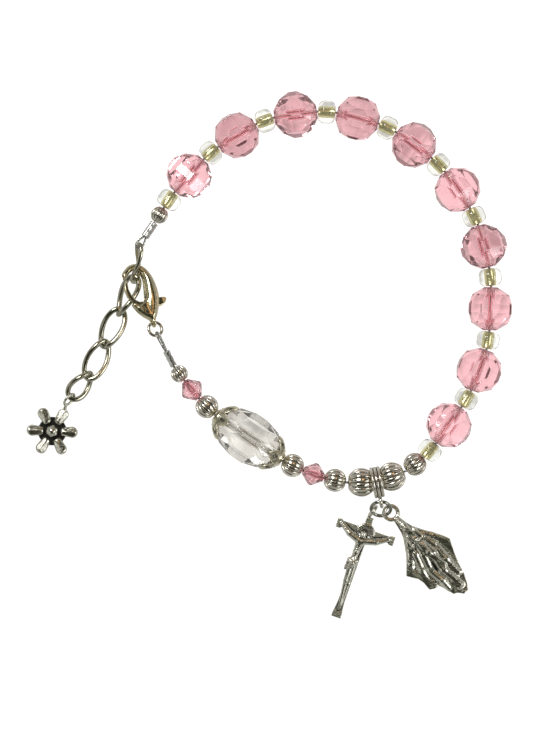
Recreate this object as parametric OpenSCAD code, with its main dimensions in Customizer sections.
// Rosary bracelet lying on its side: a strung loop of beads with a clasp, a chain and charms.
// Millimetres. X runs across the loop, Y along it, and Z up from the surface that it lies on.

/* [Glass beads] */
// Diameter of a round cut crystal
crystal_d = 8; // [6.5:0.25:8.5]
// Diameter of a seed bead
seed_d = 4; // [3:0.1:4.4]
// Length of a seed bead along the wire
seed_len = 3; // [2:0.1:4]
// Width and length of a bicone bead
bicone_d = 4; // [3:0.1:4.5]
// Diameter of the oval crystal
oval_d = 9; // [7:0.2:10]
// Length of the oval crystal without its caps
oval_len = 12.6; // [10:0.2:14]
// Bore of the glass beads
glass_bore = 1.1; // [0.8:0.05:1.3]

/* [Metal beads] */
// Diameter of the small corrugated beads
small_d = 3; // [2.6:0.1:3.4]
// Diameter of the middle corrugated beads
middle_d = 4; // [3.5:0.1:4.4]
// Diameter of the two large corrugated beads beside the bail
large_d = 5; // [4.5:0.1:5.4]
// Bore of the corrugated beads
metal_bore = 1.2; // [0.8:0.05:1.4]
// Ribs round a corrugated bead
ribs = 14; // [10:1:16]
// Depth of the grooves between the ribs
groove = 0.22; // [0.1:0.02:0.3]
// Length of a cap's petals along the oval crystal
cap_len = 2.3; // [2:0.1:4]
// Thickness of a cap's metal
cap_wall = 0.35; // [0.3:0.05:0.6]
// Length of a cap's collar beyond the crystal
collar_len = 0.7; // [0.4:0.1:1.2]
// Petals round a cap
petals = 6; // [5:1:8]

/* [Wire and crimps] */
// Diameter of the beading wire
wire_d = 0.45; // [0.3:0.05:0.5]
// Length of a crimp tube
crimp_len = 3.1; // [2:0.1:4]
// Wall of a crimp tube
crimp_wall = 0.25; // [0.15:0.05:0.35]
// Free space between neighbouring beads on the wire
bead_play = 0.25; // [0.2:0.05:0.4]

/* [Bail and charm ring] */
// Extra room along the wire for each of the two beads that the bail sits over
bail_room = 0.7; // [0.5:0.05:0.9]
// Outer diameter of the bail's ribbed ring
bail_d = 5.5; // [5.3:0.1:5.8]
// Width of the bail's ring along the wire
bail_w = 1.9; // [1.5:0.1:2.2]
// Wall of the bail's ring between its ribs
bail_wall = 0.3; // [0.25:0.05:0.4]
// Mean diameter of the bail's small loop
bail_loop_d = 1.7; // [1.5:0.1:2]
// Wire diameter of the bail's small loop
bail_loop_wire = 0.6; // [0.5:0.05:0.7]
// Mean diameter of the ring that carries the charms
charm_ring_d = 3.4; // [3:0.1:4]
// Wire diameter of the ring that carries the charms
charm_ring_wire = 0.6; // [0.5:0.05:0.7]

/* [Crucifix and medal] */
// Length of the crucifix from the middle of its eye to its foot
cross_len = 19.5; // [17:0.5:22]
// Width of the crucifix over its arms
cross_w = 10.5; // [9:0.5:12]
// Thickness of the cross behind the figure
cross_t = 0.9; // [0.7:0.1:1.2]
// Length of the medal from the middle of its eye to the feet
medal_len = 19; // [17:0.5:20]
// Greatest width of the medal
medal_w = 10; // [8:0.5:12]
// Thickness of the medal's plate at its hem
medal_t = 0.7; // [0.6:0.1:1]
// Wire diameter of the charms' eyes
eye_wire = 0.7; // [0.6:0.05:0.8]

/* [Chain] */
// Outer length of a chain link
link_len = 8.1; // [7.8:0.1:8.6]
// Outer length of the last, smaller link
last_link_len = 6.4; // [6:0.1:7]
// Outer width of a chain link
link_w = 4.4; // [4.2:0.1:4.8]
// Wire diameter of the chain
link_wire = 0.9; // [0.8:0.05:0.95]
// Twist of a link from its middle to either end, in degrees
link_twist = 30; // [20:1:35]

/* [Flower charm] */
// Diameter of the flower over its petals
flower_d = 9; // [8:0.25:10]
// Height of the flower's middle
flower_h = 2.2; // [1.8:0.1:2.6]
// Petals of the flower
flower_petals = 6; // [5:1:7]

/* [Clasp] */
// Length of the clasp from its tail to the top of its hook
clasp_len = 10.8; // [10:0.2:12]
// Thickness of the clasp's body where it is fattest
clasp_t = 2.8; // [2.6:0.1:3.2]
// Thickness of the lever
lever_t = 0.8; // [0.6:0.05:1]
// Clear gap on each side of the lever
lever_play = 0.08; // [0.05:0.01:0.15]
// Diameter of the pin that the lever turns on
pin_d = 0.7; // [0.5:0.05:0.8]
// Radial clearance between the pin and the lever's bore
pin_play = 0.05; // [0.02:0.01:0.08]
// Mean diameter of the ring at the clasp's tail
clasp_ring_d = 2.4; // [2.2:0.1:2.8]
// Wire diameter of the ring at the clasp's tail
clasp_ring_wire = 0.55; // [0.45:0.05:0.6]

/* [Hidden] */

silver = "silver";
pewter = "dimgray";
rose = "lightpink";
clear = "whitesmoke";

// Shares of a cut bead's half length and radius at each ring of corners, from its middle outwards
round_cut = [[0.18, 0.985], [0.62, 0.785], [0.93, 0.31]];
oval_cut = [[0.17, 1], [0.6, 0.8], [1, 0.36]];
bicone_cut = [[0.12, 1], [0.95, 0.34]];
round_sides = 8;
oval_sides = 10;
bicone_sides = 8;

// The wire's route through the beads as the bracelet lies, from the chain's end round to the
// clasp's end. The crystals hold it off the surface, and the bail pulls it down.
lying = [
    [-22.64, 18.16, 4.66], [-20.6, 21, 4.5], [-18.6, 24.3, 4.1], [-17.1, 26.6, 4], [-13.9, 30.9, 4],
    [-5.7, 37.9, 4], [4.3, 41.55, 4], [15.4, 40.95, 4], [25.1, 36.3, 4], [32.7, 28.5, 4],
    [37.2, 18.9, 4], [38.4, 8.1, 4], [36.6, -2.9, 4], [31.2, -12.4, 4.05], [25.5, -19.2, 3.15],
    [19.4, -22.2, 2.74], [12.2, -22.2, 3], [4.8, -19.7, 4.2], [-3.1, -15.3, 4.9], [-10.1, -9.8, 4.6],
    [-13, -6.5, 4.2], [-15, -4, 4], [-17.3, -0.7, 4], [-18.8, 1.4, 4]];
// Middle of the lying bracelet's box, and the surface below it
lying_middle = [0.18, -0.42, -0.065];
route = [for (p = lying) p - lying_middle];

// Chain: [heading, rise, roll] of each link in degrees, in order from the wire
chain = [[-98.4, -27, -90.9], [-113.8, 2, 47.8], [-115.4, -0.9, 17.3], [-115.5, -0.1, -13.7],
    [-129.2, -2.1, -39.7]];
// Gap between two hooked wires
hook_play = 0.12;
// Where the first link's far end lies in the clasp, as shares of the clasp's length
link_seat = [-0.034, 0.75, -0.177];
// Heading, rise and roll of the clasp
clasp_turn = [106.9, -8.8, 22.6];

// Clasp's spine from its tail over the hook: [across, along, half width] as shares of its
// length, and its half thickness as a share of half the greatest thickness
clasp_spine = [
    [0, 0.051, 0.046, 0.5], [0.032, 0.148, 0.079, 0.75], [0.069, 0.278, 0.106, 0.95],
    [0.097, 0.417, 0.12, 1], [0.116, 0.574, 0.106, 0.92], [0.116, 0.722, 0.083, 0.78],
    [0.074, 0.852, 0.067, 0.64], [-0.009, 0.935, 0.057, 0.55], [-0.102, 0.944, 0.054, 0.5],
    [-0.181, 0.905, 0.05, 0.46], [-0.238, 0.856, 0.048, 0.44], [-0.256, 0.805, 0.044, 0.4]];
// The same columns for the short horn below the lever
clasp_horn = [
    [0.005, 0.07, 0.05, 0.5], [-0.083, 0.144, 0.051, 0.55], [-0.157, 0.241, 0.057, 0.52],
    [-0.218, 0.343, 0.048, 0.45]];
// Lever's outline as shares of the clasp's length
lever_outline = [
    [-0.269, 0.736], [-0.306, 0.667], [-0.315, 0.593], [-0.301, 0.491], [-0.255, 0.398],
    [-0.176, 0.324], [-0.083, 0.278], [0.02, 0.262], [0.16, 0.29], [0.27, 0.296], [0.325, 0.322],
    [0.32, 0.366], [0.26, 0.375], [0.12, 0.39], [0.04, 0.39], [-0.046, 0.361], [-0.139, 0.38],
    [-0.199, 0.435], [-0.231, 0.509], [-0.241, 0.611], [-0.227, 0.704], [-0.208, 0.778]];
// Slot that the lever works in, as shares of the clasp's length
lever_slot = [
    [-0.4, 0.9], [-0.34, 0.5], [-0.27, 0.385], [-0.184, 0.312], [-0.09, 0.266], [0.02, 0.245],
    [0.1, 0.235], [0.17, 0.2], [0.45, 0.1], [0.45, 0.4], [0.2, 0.4], [0.1, 0.44], [0, 0.44],
    [-0.06, 0.5], [-0.13, 0.8]];
// Pin's place as shares of the clasp's length
pin_at = [0.083, 0.333];

// Charm ring: its middle from the middle of the bail's loop, [back along the wire, outwards, up]
charm_ring_at = [-0.19, 1.24, -1];
// Eyes of the crucifix and the medal from the charm ring's middle, in the same directions
cross_eye_at = [-1.46, 0.15, -0.48];
medal_eye_at = [1.6, 1.03, -0.42];
// Axes of the ring and the eyes: [turn from the direction back along the wire, rise]
charm_ring_axis = [-102.5, 47];
cross_eye_axis = [-48.4, -4];
medal_eye_axis = [38.9, 82];
// Heading from foot to eye, and rise, of the crucifix and the medal
cross_turn = [70.8, 2.2];
medal_turn = [133.7, 2.6];
// Mean diameters of the charms' eyes
cross_eye_d = 1.9;
medal_eye_d = 2.4;
flower_eye_d = 2.3;
// Wire diameter of the flower's eye, and its axis: turn and rise
flower_eye_wire = 0.5;
flower_eye_axis = [-40, 24];
// Middle of the flower from its eye, and the turn of its first petal
flower_from_eye = [-3, -5.5];
flower_turn = -3;

function unit(v) = v / norm(v);
function turn_x(a, v) = [v[0], v[1] * cos(a) - v[2] * sin(a), v[1] * sin(a) + v[2] * cos(a)];
function turn_y(a, v) = [v[0] * cos(a) + v[2] * sin(a), v[1], v[2] * cos(a) - v[0] * sin(a)];
function turn_z(a, v) = [v[0] * cos(a) - v[1] * sin(a), v[0] * sin(a) + v[1] * cos(a), v[2]];
function heading(a, rise) = [cos(a) * cos(rise), sin(a) * cos(rise), sin(rise)];

// Length of the free wire loop beyond the crimp at the chain's end and at the clasp's end
loop_len = [2.4, 3.7];
// Gap between the wire and what its end loops hold
loop_play = 0.12;
// Gap between the crystal and the inside of its caps
cap_play = 0.12;

// Beads in order along the wire, as [kind, diameter]
beads = concat(
    [["corrugated", small_d], ["seed", seed_d]],
    [for (i = [1:10], kind = ["crystal", "seed"]) [kind, kind == "seed" ? seed_d : crystal_d]],
    [["corrugated", middle_d], ["corrugated", large_d], ["corrugated", large_d]],
    [["corrugated", middle_d], ["bicone", bicone_d], ["corrugated", middle_d], ["oval", oval_d]],
    [["corrugated", middle_d], ["bicone", bicone_d], ["corrugated", small_d]]);

function bead_len(bead) =
    bead[0] == "seed" ? seed_len
    : bead[0] == "crystal" ? crystal_d * round_cut[2][0]
    : bead[0] == "bicone" ? bicone_d * bicone_cut[1][0]
    : bead[0] == "oval" ? oval_len + 2 * collar_len
    : 0.9 * bead[1];
function room(bead) = bead_len(bead) + bead_play + (bead[1] == large_d ? bail_room : 0);

// Places of one kind of bead in the whole row
function of_kind(kind) = [for (i = [0:len(beads) - 1]) if (beads[i][0] == kind) i];
bail_joint = of_kind("corrugated")[3];

// Chain, from the wire's first point on
chain_start = let(out = unit(route[1] - route[0]))
    route[0] + out * ((wire_d + link_wire) / 2 + loop_play);
function link_size(i) = i == len(chain) - 1 ? last_link_len : link_len;
function link_dir(i) = heading(chain[i][0], chain[i][1]);
function link_far(i) = link_near(i) + link_dir(i) * (link_size(i) - link_wire);
function link_near(i) = i == 0 ? chain_start : link_far(i - 1) - link_dir(i - 1) * (link_wire + hook_play);

// Clasp: a point of its own frame, given in millimetres, in the bracelet's frame
function clasp_vector(v) =
    turn_z(clasp_turn[0] - 90, turn_x(clasp_turn[1], turn_y(clasp_turn[2], v)));
clasp_tail = link_far(0) - clasp_vector(link_seat * clasp_len);
tail_eye_wire = 0.5;
tail_eye_r = (clasp_ring_wire + tail_eye_wire) / 2 + 0.13;
ring_middle = clasp_tail - clasp_vector([0, clasp_ring_d / 2, 0]);
ring_axis = clasp_vector([0, 0, 1]);
function flat_toward(v, axis) = unit(v - axis * (v * axis));
wire_side = flat_toward(route[len(route) - 1] - ring_middle, ring_axis);
wire_end = ring_middle + wire_side * (clasp_ring_d - clasp_ring_wire - wire_d) / 2 - wire_side * loop_play;

// The route, stretched square to the line between its two ends until it is as long as the beads
ends = [for (i = [0:len(route) - 1]) i == len(route) - 1 ? wire_end : route[i]];
chord = unit([wire_end[0] - route[0][0], wire_end[1] - route[0][1], 0]);
square = [-chord[1], chord[0], 0];
function stretched(s) = [for (p = ends) p + square * ((p - ends[0]) * square) * (s - 1)];
function at_knot(p, u) = let(
    t1 = sqrt(norm(p[1] - p[0])),
    t2 = t1 + sqrt(norm(p[2] - p[1])),
    t3 = t2 + sqrt(norm(p[3] - p[2])),
    t = t1 + u * (t2 - t1),
    a1 = (p[0] * (t1 - t) + p[1] * t) / t1,
    a2 = (p[1] * (t2 - t) + p[2] * (t - t1)) / (t2 - t1),
    a3 = (p[2] * (t3 - t) + p[3] * (t - t2)) / (t3 - t2),
    b1 = (a1 * (t2 - t) + a2 * t) / t2,
    b2 = (a2 * (t3 - t) + a3 * (t - t1)) / (t3 - t1))
    (b1 * (t2 - t) + b2 * (t - t1)) / (t2 - t1);
function smooth(p, steps) = let(
    last = len(p) - 1,
    q = concat([2 * p[0] - p[1]], p, [2 * p[last] - p[last - 1]]))
    concat([for (i = [0:last - 1], k = [0:steps - 1])
        at_knot([q[i], q[i + 1], q[i + 2], q[i + 3]], k / steps)], [p[last]]);
function running_len(p) = [for (i = 0, s = 0; i < len(p);
    s = s + (i + 1 < len(p) ? norm(p[i + 1] - p[i]) : 0), i = i + 1) s];
function last_of(v) = v[len(v) - 1];
joint_at = [for (i = 0, s = loop_len[0] + crimp_len; i <= len(beads);
    s = s + (i < len(beads) ? room(beads[i]) : 0), i = i + 1) s];
string_len = last_of(joint_at) + crimp_len + loop_len[1];
function fit_stretch(low, high, tries) = let(mid = (low + high) / 2)
    tries == 0 ? mid
    : last_of(running_len(smooth(stretched(mid), 6))) > string_len ? fit_stretch(low, mid, tries - 1)
    : fit_stretch(mid, high, tries - 1);
stretch = fit_stretch(0.3, 2.5, 18);
string = smooth(stretched(stretch), 6);
string_run = running_len(string);
function at_run(s) = [for (axis = [0:2])
    lookup(s, [for (i = [0:len(string) - 1]) [string_run[i], string[i][axis]]])];
joints = [for (s = joint_at) at_run(s)];

// Moves what is drawn about the Z axis to the line from p to q, with its middle at theirs
module between(p, q, roll = 0) {
    d = q - p;
    translate((p + q) / 2)
        rotate([0, acos(d[2] / norm(d)), atan2(d[1], d[0])])
            rotate([0, 0, roll]) children();
}
module on_wire(kind, number) {
    i = of_kind(kind)[number - 1];
    between(joints[i], joints[i + 1]) children();
}
module bore(d, depth) cylinder(d = d, h = depth, center = true, $fn = 32);

// A closed skin over rings of points, each ring with as many points as the next
function skin_faces(rings, n, closed) = let(last = closed ? rings - 1 : rings - 2) concat(
    [for (i = [0:last], j = [0:n - 1]) let(
        k = (i + 1) % rings,
        m = (j + 1) % n)
        [i * n + j, k * n + j, k * n + m]],
    [for (i = [0:last], j = [0:n - 1]) let(
        k = (i + 1) % rings,
        m = (j + 1) % n)
        [i * n + j, k * n + m, i * n + m]],
    closed ? [] : [[for (j = [0:n - 1]) j], [for (j = [n - 1:-1:0]) (rings - 1) * n + j]]);

// A cut stone about the Z axis: every second ring of corners is turned by half a facet
module cut_stone(length, d, cut, sides) {
    rings = concat(
        [for (i = [len(cut) - 1:-1:0]) [-cut[i][0], cut[i][1], i % 2]],
        [for (i = [0:len(cut) - 1]) [cut[i][0], cut[i][1], i % 2]]);
    points = [for (r = rings, j = [0:sides - 1]) let(a = (j + r[2] / 2) * 360 / sides)
        [cos(a) * r[1] * d / 2, sin(a) * r[1] * d / 2, r[0] * length / 2]];
    bands = [for (k = [0:len(rings) - 2], j = [0:sides - 1]) let(
        low = k * sides,
        high = low + sides,
        m = (j + 1) % sides)
        each rings[k][2] == rings[k + 1][2]
            ? [[low + j, high + j, high + m, low + m]]
            : rings[k][2] == 0
                ? [[low + j, high + j, low + m], [low + m, high + j, high + m]]
                : [[low + j, high + j, high + m], [low + j, high + m, low + m]]];
    ends = [[for (j = [0:sides - 1]) j],
        [for (j = [sides - 1:-1:0]) (len(rings) - 1) * sides + j]];
    polyhedron(points, concat(bands, ends));
}

module crystal(number) color(rose) on_wire("crystal", number) difference() {
    cut_stone(crystal_d, crystal_d, round_cut, round_sides);
    bore(glass_bore, crystal_d);
}

module seed(number) {
    edge = seed_len * 0.38;
    arc = [for (a = [0:15:90]) [seed_d / 2 - edge + edge * sin(a), seed_len / 2 - edge + edge * cos(a)]];
    color(clear) on_wire("seed", number)
        rotate_extrude($fn = 32)
            polygon(concat([[glass_bore / 2, seed_len / 2]], arc,
                [for (i = [len(arc) - 1:-1:0]) [arc[i][0], -arc[i][1]]],
                [[glass_bore / 2, -seed_len / 2]]));
}

// The grooves run out at a plain lip, and a small bead is cut shorter to keep its lip round the bore
module corrugated(number) {
    d = beads[of_kind("corrugated")[number - 1]][1];
    lip = 0.1;
    half = min(0.45 * d, sqrt(pow(d / 2, 2) - pow(metal_bore / 2 + lip, 2)));
    rows = 7;
    n = 2 * ribs;
    points = [for (k = [0:rows - 1], j = [0:n - 1]) let(
        z = half * sin(-90 + 180 * k / (rows - 1)),
        depth = k == 0 || k == rows - 1 ? 0 : (j % 2) * groove,
        r = sqrt(pow(d / 2, 2) - z * z) * (1 - 2 * depth / d))
        [r * cos(j * 360 / n), r * sin(j * 360 / n), z]];
    color(silver) on_wire("corrugated", number) difference() {
        polyhedron(points, skin_faces(rows, n, false));
        bore(metal_bore, d);
    }
}

module bicone(number) color(rose) on_wire("bicone", number) difference() {
    cut_stone(bicone_d, bicone_d, bicone_cut, bicone_sides);
    bore(glass_bore, bicone_d);
}

module oval_crystal() color(clear) on_wire("oval", 1) difference() {
    cut_stone(oval_len, oval_d, oval_cut, oval_sides);
    bore(glass_bore, oval_len + 1);
}

// Radius that the oval crystal's corners reach at a height above its middle
function oval_r(z) = oval_d / 2 * lookup(abs(z) * 2 / oval_len,
    concat([[0, 1]], [for (c = oval_cut) c]));

module bead_cap(side) {
    rim = oval_len / 2 - cap_len;
    top = oval_len / 2 + cap_play;
    inner = [for (k = [0:6]) let(z = rim + (oval_len / 2 - rim) * k / 6) [oval_r(z) + cap_play, z]];
    outer = [for (k = [6:-1:0]) [inner[k][0] + cap_wall, inner[k][1]]];
    gap = 360 / petals;
    color(silver) on_wire("oval", 1) mirror([0, 0, side == 1 ? 1 : 0]) difference() {
        rotate_extrude($fn = 48) polygon(concat(inner,
            [[glass_bore / 2, top], [glass_bore / 2, top + collar_len - cap_play]],
            [[oval_r(oval_len / 2) * 0.7, top + collar_len - cap_play]], outer));
        for (i = [0:petals - 1]) rotate([0, 0, i * gap])
            translate([0, 0, rim]) rotate([90, 0, 90]) linear_extrude(oval_d)
                polygon([[-oval_r(rim) * tan(gap / 2) * 1.1, -1], [0, cap_len * 0.62],
                    [oval_r(rim) * tan(gap / 2) * 1.1, -1]]);
        for (i = [0:petals - 1]) rotate([0, 0, (i + 0.5) * gap])
            translate([0, 0, rim + cap_len * 0.4]) rotate([90, 0, 90])
                cylinder(d = cap_len * 0.24, h = oval_d, $fn = 24);
    }
}

// Frame of a crimp and its loop: the wire's outermost point, and the side it spreads to
function end_frame(number) = let(
    far = number == 1 ? ends[0] : wire_end,
    bead = number == 1 ? joints[0] : last_of(joints),
    out = unit(far - bead),
    held = number == 1
        ? link_tangent(0)
        : unit(cross(ring_axis, wire_side)))
    [bead, out, unit(cross(out, held)), norm(far - bead)];
function link_tangent(i) = let(a = chain[i][2] - link_twist)
    turn_z(chain[i][0], turn_y(-chain[i][1], [0, cos(a), sin(a)]));
strand_off = wire_d / 2 + 0.02;

module crimp(number) {
    f = end_frame(number);
    p = f[0] + f[1] * bead_play / 2;
    q = f[0] + f[1] * (f[3] - loop_len[number - 1]);
    d = q - p;
    tilt = acos(d[2] / norm(d));
    turn = atan2(d[1], d[0]);
    local = turn_y(-tilt, turn_z(-turn, f[2]));
    w = 2 * strand_off + wire_d + 0.1;
    t = wire_d + 0.1;
    color(silver) between(p, q, atan2(local[1], local[0]))
        linear_extrude(norm(d), center = true) difference() {
            flat_round(w + 2 * crimp_wall, t + 2 * crimp_wall);
            flat_round(w, t);
        }
}
module flat_round(w, t) {
    square([w - t, t], center = true);
    for (side = [-1, 1]) translate([side * (w - t) / 2, 0]) circle(d = t, $fn = 32);
}

// The wire's points from a bead's end through the crimp, round what it holds, and back inside
function end_loop(number) = let(
    f = end_frame(number),
    held = number == 1 ? link_wire : clasp_ring_wire,
    half = (held + wire_d) / 2 + loop_play,
    middle = f[3] - half,
    mouth = f[3] - loop_len[number - 1],
    flat = concat(
        [[0.4, 0.1], [0.9, strand_off], [mouth, strand_off]],
        [[mouth + 0.45 * (middle - mouth), strand_off + 0.6 * (half - strand_off)]],
        [for (a = [90:-30:-90]) [middle + half * cos(a), half * sin(a)]],
        [[mouth + 0.45 * (middle - mouth), -strand_off - 0.6 * (half - strand_off)]],
        [[mouth, -strand_off], [0.9, -strand_off]]))
    [for (p = flat) f[0] + f[1] * p[0] + f[2] * p[1]];
function reversed(v) = [for (i = [len(v) - 1:-1:0]) v[i]];

function directions(p) = let(last = len(p) - 1)
    [for (i = [0:last]) unit(p[min(i + 1, last)] - p[max(i - 1, 0)])];
function carried(n, t) = unit(n - t * (n * t));
function side_vectors(t, first) = [for (i = 0, n = carried(first, t[0]); i < len(t);
    i = i + 1, n = i < len(t) ? carried(n, t[i]) : n) n];
module tube(p, r, n, first = [0, 0, 1]) {
    t = directions(p);
    s = side_vectors(t, first);
    points = [for (i = [0:len(p) - 1], j = [0:n - 1]) let(a = j * 360 / n)
        p[i] + r * (s[i] * cos(a) + cross(t[i], s[i]) * sin(a))];
    polyhedron(points, skin_faces(len(p), n, false));
}

module beading_wire() color("lightgray")
    tube(concat(reversed(end_loop(1)), joints, end_loop(2)), wire_d / 2, 8, end_frame(1)[2]);

// A ring of round wire in the XY plane, and a coarser one for the cast charms
module ring(mean_d, wire) rotate_extrude($fn = 48) translate([mean_d / 2, 0]) circle(d = wire, $fn = 24);
module cast_ring(mean_d, wire) rotate_extrude($fn = 20) translate([mean_d / 2, 0]) circle(d = wire, $fn = 8);
// Turns the Z axis to the direction with this azimuth and elevation
module aimed(axis) rotate([0, 90 - axis[1], axis[0]]) children();

// The bail stands over the gap between the two large beads
bail_middle = joints[bail_joint];
bail_dir = unit([joints[bail_joint + 1][0] - joints[bail_joint - 1][0],
    joints[bail_joint + 1][1] - joints[bail_joint - 1][1], 0]);
bail_out = [-bail_dir[1], bail_dir[0], 0];
bail_heading = atan2(-bail_dir[1], -bail_dir[0]);
// The loop is soldered into the ring's ribs by this share of its diameter
loop_reach = bail_d / 2 + bail_loop_d * 0.41;
loop_middle = bail_middle + bail_out * loop_reach;
function from_bail(v) = bail_out * v[1] - bail_dir * v[0] + [0, 0, v[2]];
module bail_aimed(axis) aimed([bail_heading + axis[0], axis[1]]) children();

module bail() {
    rib = bail_w / 3;
    rib_out = 0.15;
    rib_d = bail_wall + rib_out;
    inner = bail_d / 2 - rib_d;
    color(silver) between(bail_middle - bail_dir, bail_middle + bail_dir) {
        rotate_extrude($fn = 48) {
            translate([inner, -bail_w / 2]) square([bail_wall, bail_w]);
            for (k = [-1:1]) translate([inner + rib_d / 2, k * rib]) circle(d = rib_d, $fn = 24);
        }
        translate([0, loop_reach, 0]) ring(bail_loop_d, bail_loop_wire);
    }
}

charm_ring_middle = loop_middle + from_bail(charm_ring_at);
module charm_ring() color(pewter) translate(charm_ring_middle) bail_aimed(charm_ring_axis)
    ring(charm_ring_d, charm_ring_wire);

// A rounded bar between two points, with its own radius at each end
module limb(p, q, r1, r2) hull() {
    translate(p) sphere(r1, $fn = 8);
    translate(q) sphere(r2, $fn = 8);
}

// Crucifix, its long way along Y, drawn from the middle of its eye down to its foot: the bar's
// middle as a share of its length, and half the widths of post and bar before they flare.
// The post's top ends inside the eye's wire, this far outside the wire's middle line
eye_rim = 0.1;
bar_at = -0.195;
post_half = 0.65;
bar_half = 0.6;
flare = 0.27;
halo_d = 2.9;
halo_wire = 0.6;
module crucifix() {
    l = cross_len;
    w = cross_w / 2;
    bar = bar_at * l;
    top = -cross_eye_d / 2 - eye_rim;
    right = [[post_half - 0.1, top], [post_half, bar + bar_half], [0.8 * w, bar + bar_half],
        [w, bar + bar_half + flare], [w, bar - bar_half - flare], [0.8 * w, bar - bar_half],
        [post_half, bar - bar_half], [post_half, -0.84 * l], [post_half + flare, -l]];
    left = [for (i = [len(right) - 1:-1:0]) [-right[i][0], right[i][1]]];
    chest = [-0.03 * cross_w, bar - 0.11 * l, 0.75];
    neck = chest + [0.1, 0.9, 0.35];
    waist = chest + [-0.1, -0.082 * l, 0.05];
    hips = [-0.45, chest[1] - 0.174 * l, 0.75];
    near_knee = [-0.5, -0.66 * l, 0.95];
    far_knee = [0.1, -0.68 * l, 0.8];
    color(pewter) translate(charm_ring_middle + from_bail(cross_eye_at)) {
        bail_aimed(cross_eye_axis) cast_ring(cross_eye_d, eye_wire * 0.86);
        rotate([0, 0, cross_turn[0] - 90]) rotate([cross_turn[1], 0, 0]) {
            linear_extrude(cross_t, center = true) polygon(concat(right, left));
            translate([0, bar - 0.15, 0.35]) cast_ring(halo_d, halo_wire);
            for (side = [-1, 1])
                limb(chest + [side * 0.5, 0.35, 0.1], [side * w * 0.78, bar + 0.05, 0.6], 0.5, 0.36);
            limb([-0.1, bar - 0.031 * l, 1.1], neck, 0.58, 0.5);
            limb(chest, waist, 0.75, 0.55);
            limb(waist, hips, 0.55, 0.78);
            limb(hips, near_knee, 0.72, 0.52);
            limb(hips + [0.5, 0, -0.05], far_knee, 0.6, 0.45);
            limb(near_knee, [-0.07, -0.89 * l, 0.6], 0.5, 0.34);
            limb(far_knee, [0.12, -0.91 * l, 0.55], 0.45, 0.33);
        }
    }
}

// Medal: a cast robed figure. Outline from the eye down as [across, down] shares of its
// greatest width and its length, and the folds' lower ends
medal_outline = [
    [0.05, 0.07], [0.08, 0.16], [0.11, 0.22], [0.21, 0.34], [0.37, 0.465], [0.43, 0.54],
    [0.38, 0.6], [0.32, 0.67], [0.25, 0.76], [0.19, 0.87], [0.12, 0.95], [0.05, 1], [-0.05, 1],
    [-0.12, 0.95], [-0.19, 0.93], [-0.23, 0.85], [-0.27, 0.79], [-0.35, 0.78], [-0.44, 0.75],
    [-0.43, 0.67], [-0.45, 0.61], [-0.57, 0.515], [-0.41, 0.43], [-0.29, 0.36], [-0.15, 0.25],
    [-0.11, 0.19], [-0.06, 0.07]];
medal_folds = [[-0.5, 0.52], [-0.39, 0.73], [-0.27, 0.75], [-0.13, 0.9], [0.01, 0.96],
    [0.13, 0.85], [0.25, 0.71], [0.38, 0.54]];
module medal() {
    w = medal_w;
    l = medal_len;
    shoulder = [0.08 * w, -0.25 * l, 0.4];
    color(pewter) translate(charm_ring_middle + from_bail(medal_eye_at)) {
        bail_aimed(medal_eye_axis) cast_ring(medal_eye_d, eye_wire);
        rotate([0, 0, medal_turn[0] - 90]) rotate([medal_turn[1], 0, 0]) {
            linear_extrude(medal_t, center = true)
                polygon([for (p = medal_outline) [p[0] * w, -p[1] * l]]);
            for (f = medal_folds)
                limb([f[0] * w * 0.2, -0.26 * l, 0.45], [f[0] * w * 0.96, -f[1] * l, 0.24], 0.5, 0.55);
            hull() {
                translate([0, -0.2 * l, 0.5]) sphere(0.75, $fn = 8);
                translate([0, -0.5 * l, 0.6]) sphere(0.8, $fn = 8);
                translate([0.05 * w, -0.68 * l, 0.4]) sphere(0.7, $fn = 8);
            }
            limb([-shoulder[0], shoulder[1], shoulder[2]], shoulder, 0.6, 0.6);
            limb([0, -0.155 * l, 0.6], [0, -0.19 * l, 0.55], 0.72, 0.7);
            limb([0, -0.085 * l, 0.3], [0, -0.15 * l, 0.4], 0.42, 0.6);
        }
    }
}

// A link's middle line lies on an oval twisted about its long way
function link_line(a, b, t) = let(f = link_twist * cos(t))
    [a * cos(t), b * sin(t) * cos(f), b * sin(t) * sin(f)];
module link(number) {
    i = number - 1;
    a = (link_size(i) - link_wire) / 2;
    b = (link_w - link_wire) / 2;
    steps = 24;
    sides = 6;
    points = [for (k = [0:steps - 1], j = [0:sides - 1]) let(
        t = k * 360 / steps,
        f = link_twist * cos(t),
        along = unit(link_line(a, b, t + 1) - link_line(a, b, t - 1)),
        out = carried([cos(t) / a, sin(t) * cos(f) / b, sin(t) * sin(f) / b], along),
        q = j * 360 / sides)
        link_line(a, b, t) + link_wire / 2 * (out * cos(q) + cross(along, out) * sin(q))];
    color(pewter) translate((link_near(i) + link_far(i)) / 2)
        rotate([0, 0, chain[i][0]]) rotate([0, -chain[i][1], 0]) rotate([chain[i][2], 0, 0])
            polyhedron(points, skin_faces(steps, sides, true));
}

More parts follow.
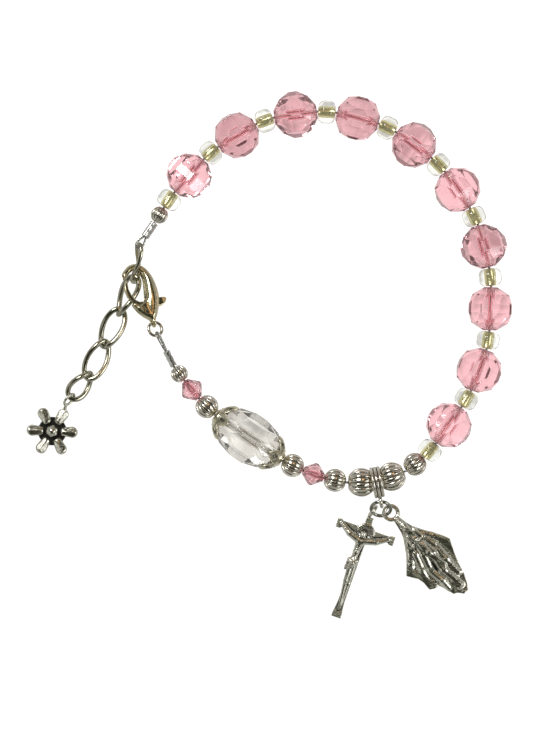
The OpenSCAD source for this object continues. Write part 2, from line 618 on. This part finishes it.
// The flower's eye hangs on the last link, and its petals rest on the surface
last_link = len(chain) - 1;
flower_eye = link_far(last_link)
    + link_dir(last_link) * ((flower_eye_d - flower_eye_wire - link_wire) / 2 - hook_play);
module flower_charm() {
    r = flower_d / 2;
    petal_z = flower_h * 0.42;
    middle = [flower_eye[0] + flower_from_eye[0], flower_eye[1] + flower_from_eye[1], r * 0.05];
    stem = middle + [cos(60 + flower_turn) * r * 0.8, sin(60 + flower_turn) * r * 0.8, petal_z];
    axis = heading(flower_eye_axis[0], flower_eye_axis[1]);
    color(pewter) {
        translate(flower_eye) aimed(flower_eye_axis) cast_ring(flower_eye_d, flower_eye_wire);
        limb(stem, flower_eye + flat_toward(stem - flower_eye, axis) * flower_eye_d / 2, 0.4, 0.3);
        translate(middle) {
            cylinder(r = r * 0.42, h = flower_h * 0.45, $fn = 12);
            limb([0, 0, flower_h * 0.4], [0, 0, flower_h * 0.62], r * 0.24, r * 0.2);
            for (i = [0:flower_petals - 1]) rotate([0, 0, flower_turn + i * 360 / flower_petals]) hull() {
                translate([r * 0.2, 0, flower_h * 0.35]) sphere(r * 0.1, $fn = 8);
                translate([r * 0.72, 0, petal_z]) sphere(r * 0.19, $fn = 8);
                translate([r * 0.86, 0, flower_h * 0.22]) sphere(r * 0.14, $fn = 8);
            }
        }
    }
}

// A skin over flat ovals: each row gives a middle, a half width and a half thickness
module oval_skin(rows, n) {
    p = [for (r = rows) [r[0], r[1], 0]];
    t = directions(p);
    points = [for (i = [0:len(p) - 1], j = [0:n - 1]) let(
        a = j * 360 / n,
        across = [t[i][1], -t[i][0], 0])
        p[i] + across * rows[i][2] * cos(a) + cross(t[i], across) * rows[i][3] * sin(a)];
    polyhedron(points, skin_faces(len(p), n, false));
}
function clasp_rows(shares) = [for (r = shares)
    [r[0] * clasp_len, r[1] * clasp_len, r[2] * clasp_len, r[3] * clasp_t / 2]];
module clasp_aimed()
    rotate([0, 0, clasp_turn[0] - 90]) rotate([clasp_turn[1], 0, 0]) rotate([0, clasp_turn[2], 0])
        children();
module in_clasp() translate(clasp_tail) clasp_aimed() children();

module clasp_body() color("darkkhaki") in_clasp() {
    pin = pin_at * clasp_len;
    difference() {
        union() {
            oval_skin(smooth(clasp_rows(clasp_spine), 2), 12);
            oval_skin(smooth(clasp_rows(clasp_horn), 2), 10);
        }
        linear_extrude(lever_t + 2 * lever_play, center = true)
            polygon(lever_slot * clasp_len);
        rotate([0, 90, 0]) cylinder(r = tail_eye_r - tail_eye_wire / 2, h = clasp_len, center = true, $fn = 32);
    }
    rotate([0, 90, 0]) ring(2 * tail_eye_r, tail_eye_wire);
    translate([pin[0], pin[1], 0]) cylinder(d = pin_d, h = clasp_t * 0.7, center = true, $fn = 32);
}

module clasp_lever() {
    pin = pin_at * clasp_len;
    color("darkkhaki") in_clasp() linear_extrude(lever_t, center = true) difference() {
        polygon(lever_outline * clasp_len);
        translate(pin) circle(d = pin_d + 2 * pin_play, $fn = 32);
    }
}

module clasp_ring() color(silver) translate(ring_middle) clasp_aimed()
    ring(clasp_ring_d, clasp_ring_wire);

for (i = [1:10]) crystal(i);
for (i = [1:11]) seed(i);
for (i = [1:8]) corrugated(i);
for (i = [1:2]) bicone(i);
oval_crystal();
for (i = [1:2]) bead_cap(i);
for (i = [1:2]) crimp(i);
beading_wire();
bail();
charm_ring();
crucifix();
medal();
for (i = [1:5]) link(i);
flower_charm();
clasp_body();
clasp_lever();
clasp_ring();
